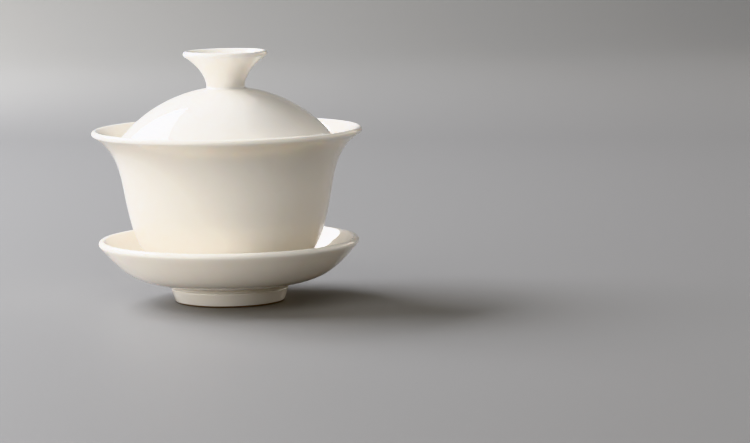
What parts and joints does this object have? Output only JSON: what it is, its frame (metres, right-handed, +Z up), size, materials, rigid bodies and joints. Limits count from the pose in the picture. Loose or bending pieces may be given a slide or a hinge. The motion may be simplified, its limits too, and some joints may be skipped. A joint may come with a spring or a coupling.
{
  "type": "gaiwan",
  "caption": "Lidded porcelain tea bowl on a saucer: flared bowl on a foot ring, low domed lid with a trumpet knob that rests inside the rim, and a dished saucer with a well for the foot.",
  "frame": {"origin": "centre of the ring that the saucer stands on, on the table's surface", "axes": "+Z up along the common axis of saucer, bowl and lid; every piece is round, so X and Y have no preferred direction"},
  "size_m": [0.08, 0.08, 0.0741],
  "materials": {
    "glaze": "gloss cream glaze on white porcelain"
  },
  "bodies": {
    "saucer": {"saucer": "glaze"},
    "bowl": {"bowl": "glaze"},
    "lid": {"lid_dome": "glaze", "lid_knob": "glaze"}
  },
  "joints": [
    {"name": "bowl_lift", "type": "slide", "parent": "saucer", "child": "bowl", "axis": [0, 0, 1], "range_m": [0, 0.05]},
    {"name": "lid_lift", "type": "slide", "parent": "bowl", "child": "lid", "axis": [0, 0, 1], "range_m": [0, 0.06]}
  ]
}
